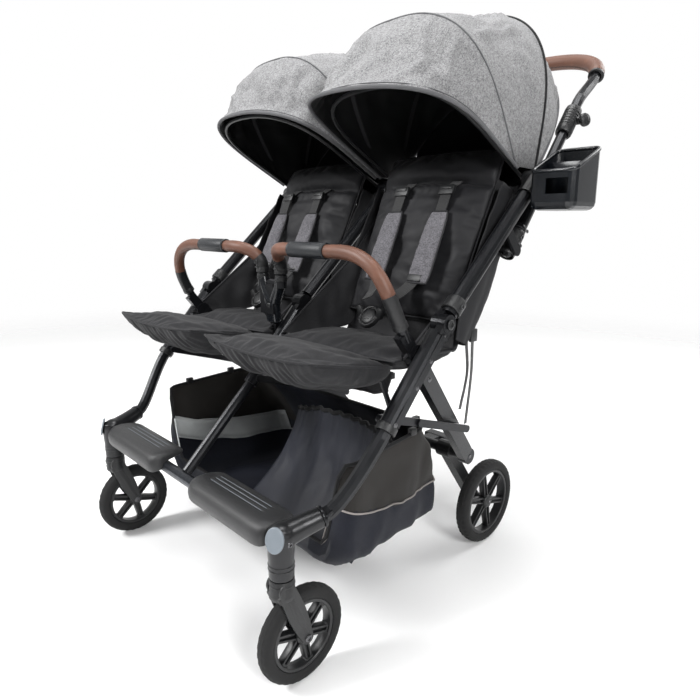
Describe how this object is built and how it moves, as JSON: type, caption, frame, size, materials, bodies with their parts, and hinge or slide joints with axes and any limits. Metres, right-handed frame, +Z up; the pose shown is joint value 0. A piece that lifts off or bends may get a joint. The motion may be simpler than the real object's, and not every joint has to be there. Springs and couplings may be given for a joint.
{
  "type": "double stroller",
  "caption": "Side-by-side double stroller with swivel front wheels, hinged bumper bars, folding hoods, reclining seats, basket and a frame that folds on coupled pivots.",
  "frame": {"origin": "on the floor under the axis of the front caster stems, midway between the left and right seats", "axes": "+Z up, -Y towards the front of the stroller, +X towards the rider's left, which is the viewer's right from the front"},
  "size_m": [0.8655, 0.9687, 1.1235],
  "materials": {
    "frame_black": "satin",
    "tube_grey": "satin",
    "plastic_black": "matte",
    "plastic_grey": "matte",
    "caddy_plastic": "satin",
    "tread_rubber": "matte",
    "brown_leather": "satin",
    "heather_fabric": "matte",
    "black_fabric": "matte",
    "charcoal_fabric": "matte"
  },
  "bodies": {
    "front_frame": {"corner_casting_R": "frame_black", "corner_casting_L": "frame_black", "front_cross_tube": "tube_grey", "footrest_R": "plastic_grey", "footrest_L": "plastic_grey", "front_leg_R": "frame_black", "front_leg_L": "frame_black", "front_leg_C": "frame_black", "seat_pan_R": "charcoal_fabric", "seat_pan_L": "charcoal_fabric", "buckle_R": "plastic_black", "buckle_L": "plastic_black", "basket": "black_fabric"},
    "upper_frame": {"upper_tube_R": "frame_black", "upper_tube_L": "frame_black", "upper_tube_C": "frame_black", "top_fitting_R": "plastic_black", "top_fitting_L": "plastic_black", "canopy_R": "heather_fabric", "canopy_L": "heather_fabric"},
    "handle": {"handle_bar": "tube_grey", "handle_grip": "brown_leather", "caddy": "caddy_plastic"},
    "trigger_right": {"fold_trigger_R": "plastic_black"},
    "trigger_left": {"fold_trigger_L": "plastic_black"},
    "hood_bow_right": {"canopy_bow_R": "plastic_black"},
    "hood_bow_left": {"canopy_bow_L": "plastic_black"},
    "backrest_right": {"backrest_R": "black_fabric", "harness_R": "heather_fabric"},
    "backrest_left": {"backrest_L": "black_fabric", "harness_L": "heather_fabric"},
    "leg_rest_right": {"leg_rest_R": "charcoal_fabric"},
    "leg_rest_left": {"leg_rest_L": "charcoal_fabric"},
    "rear_frame": {"rear_leg_R": "frame_black", "rear_leg_L": "frame_black", "centre_post": "frame_black", "rear_axle": "plastic_black"},
    "brake": {"brake_pedal": "plastic_grey"},
    "rear_wheel_right": {"rear_rim_R": "plastic_black", "rear_tyre_R": "tread_rubber"},
    "rear_wheel_left": {"rear_rim_L": "plastic_black", "rear_tyre_L": "tread_rubber"},
    "caster_right": {"caster_fork_R": "plastic_black"},
    "caster_left": {"caster_fork_L": "plastic_black"},
    "front_wheel_right": {"front_rim_R": "plastic_black", "front_tyre_R": "tread_rubber"},
    "front_wheel_left": {"front_rim_L": "plastic_black", "front_tyre_L": "tread_rubber"},
    "front_links": {"front_link_R": "frame_black", "front_link_L": "frame_black", "front_link_C": "frame_black"},
    "rear_links": {"rear_link_R": "frame_black", "rear_link_L": "frame_black", "rear_link_C": "frame_black"},
    "bumper_right": {"bumper_bar_R": "brown_leather", "bumper_grip_R": "plastic_grey"},
    "bumper_left": {"bumper_bar_L": "brown_leather", "bumper_grip_L": "plastic_grey"},
    "button_right": {"buckle_button_R": "plastic_grey"},
    "button_left": {"buckle_button_L": "plastic_grey"}
  },
  "joints": [
    {"name": "fold", "type": "hinge", "parent": "front_frame", "child": "upper_frame", "pos_m": [0, 0.3, 0.548], "axis": [-1, 0, 0], "range_deg": [0, 86], "deforming": ["basket"]},
    {"name": "rear_fold", "type": "hinge", "parent": "front_frame", "child": "rear_frame", "pos_m": [0, 0.256, 0.4995], "axis": [-1, 0, 0], "range_deg": [0, 40.1]},
    {"name": "front_link_fold", "type": "hinge", "parent": "front_frame", "child": "front_links", "pos_m": [0, 0.175, 0.409], "axis": [-1, 0, 0], "range_deg": [-22.5, 0]},
    {"name": "rear_link_fold", "type": "hinge", "parent": "front_links", "child": "rear_links", "pos_m": [0, 0.272, 0.378], "axis": [-1, 0, 0], "range_deg": [0, 98.5]},
    {"name": "handle_fold", "type": "hinge", "parent": "upper_frame", "child": "handle", "pos_m": [0, 0.515, 0.659], "axis": [1, 0, 0], "range_deg": [-100, 0]},
    {"name": "trigger_slide_right", "type": "slide", "parent": "handle", "child": "trigger_right", "axis": [0, 0.6264, 0.7795], "range_m": [0, 0.012], "stiffness_N_per_m": 400},
    {"name": "trigger_slide_left", "type": "slide", "parent": "handle", "child": "trigger_left", "axis": [0, 0.6264, 0.7795], "range_m": [0, 0.012], "stiffness_N_per_m": 400},
    {"name": "hood_turn_right", "type": "hinge", "parent": "upper_frame", "child": "hood_bow_right", "pos_m": [0.1875, 0.569, 0.789], "axis": [-1, 0, 0], "range_deg": [0, 55], "deforming": ["canopy_R"]},
    {"name": "hood_turn_left", "type": "hinge", "parent": "upper_frame", "child": "hood_bow_left", "pos_m": [-0.1875, 0.569, 0.789], "axis": [-1, 0, 0], "range_deg": [0, 55], "deforming": ["canopy_L"]},
    {"name": "recline_right", "type": "hinge", "parent": "upper_frame", "child": "backrest_right", "pos_m": [0.181, 0.378, 0.474], "axis": [-1, 0, 0], "range_deg": [0, 35]},
    {"name": "recline_left", "type": "hinge", "parent": "upper_frame", "child": "backrest_left", "pos_m": [-0.181, 0.378, 0.474], "axis": [-1, 0, 0], "range_deg": [0, 35]},
    {"name": "leg_rest_turn_right", "type": "hinge", "parent": "front_frame", "child": "leg_rest_right", "pos_m": [0.181, 0.23, 0.455], "axis": [1, 0, 0], "range_deg": [0, 45]},
    {"name": "leg_rest_turn_left", "type": "hinge", "parent": "front_frame", "child": "leg_rest_left", "pos_m": [-0.181, 0.23, 0.455], "axis": [1, 0, 0], "range_deg": [0, 45]},
    {"name": "bumper_gate_right", "type": "hinge", "parent": "rear_frame", "child": "bumper_right", "pos_m": [0.03, 0.2262, 0.6116], "axis": [0, 0, -1], "range_deg": [0, 65]},
    {"name": "bumper_gate_left", "type": "hinge", "parent": "rear_frame", "child": "bumper_left", "pos_m": [-0.03, 0.2262, 0.6116], "axis": [0, 0, 1], "range_deg": [0, 65]},
    {"name": "brake_turn", "type": "hinge", "parent": "rear_frame", "child": "brake", "pos_m": [0.19, 0.484, 0.241], "axis": [-1, 0, 0], "range_deg": [0, 20]},
    {"name": "rear_wheel_spin_right", "type": "hinge", "parent": "rear_frame", "child": "rear_wheel_right", "pos_m": [0.283, 0.59, 0.095], "axis": [1, 0, 0], "continuous": true},
    {"name": "rear_wheel_spin_left", "type": "hinge", "parent": "rear_frame", "child": "rear_wheel_left", "pos_m": [-0.283, 0.59, 0.095], "axis": [1, 0, 0], "continuous": true},
    {"name": "caster_swivel_right", "type": "hinge", "parent": "front_frame", "child": "caster_right", "pos_m": [0.313, 0, 0.18], "axis": [0, 0, 1], "continuous": true},
    {"name": "caster_swivel_left", "type": "hinge", "parent": "front_frame", "child": "caster_left", "pos_m": [-0.313, 0, 0.18], "axis": [0, 0, 1], "continuous": true},
    {"name": "front_wheel_spin_right", "type": "hinge", "parent": "caster_right", "child": "front_wheel_right", "pos_m": [0.313, 0.034, 0.08], "axis": [1, 0, 0], "continuous": true},
    {"name": "front_wheel_spin_left", "type": "hinge", "parent": "caster_left", "child": "front_wheel_left", "pos_m": [-0.313, 0.034, 0.08], "axis": [1, 0, 0], "continuous": true},
    {"name": "button_press_right", "type": "slide", "parent": "front_frame", "child": "button_right", "axis": [0, 0.8, -0.6], "range_m": [0, 0.0025], "stiffness_N_per_m": 200},
    {"name": "button_press_left", "type": "slide", "parent": "front_frame", "child": "button_left", "axis": [0, 0.8, -0.6], "range_m": [0, 0.0025], "stiffness_N_per_m": 200}
  ],
  "couplings": [
    {"joint": "rear_fold", "follows": "fold", "ratio": 0.46512},
    {"joint": "front_link_fold", "follows": "fold", "ratio": -0.258},
    {"joint": "rear_link_fold", "follows": "fold", "ratio": 1.1395}
  ]
}
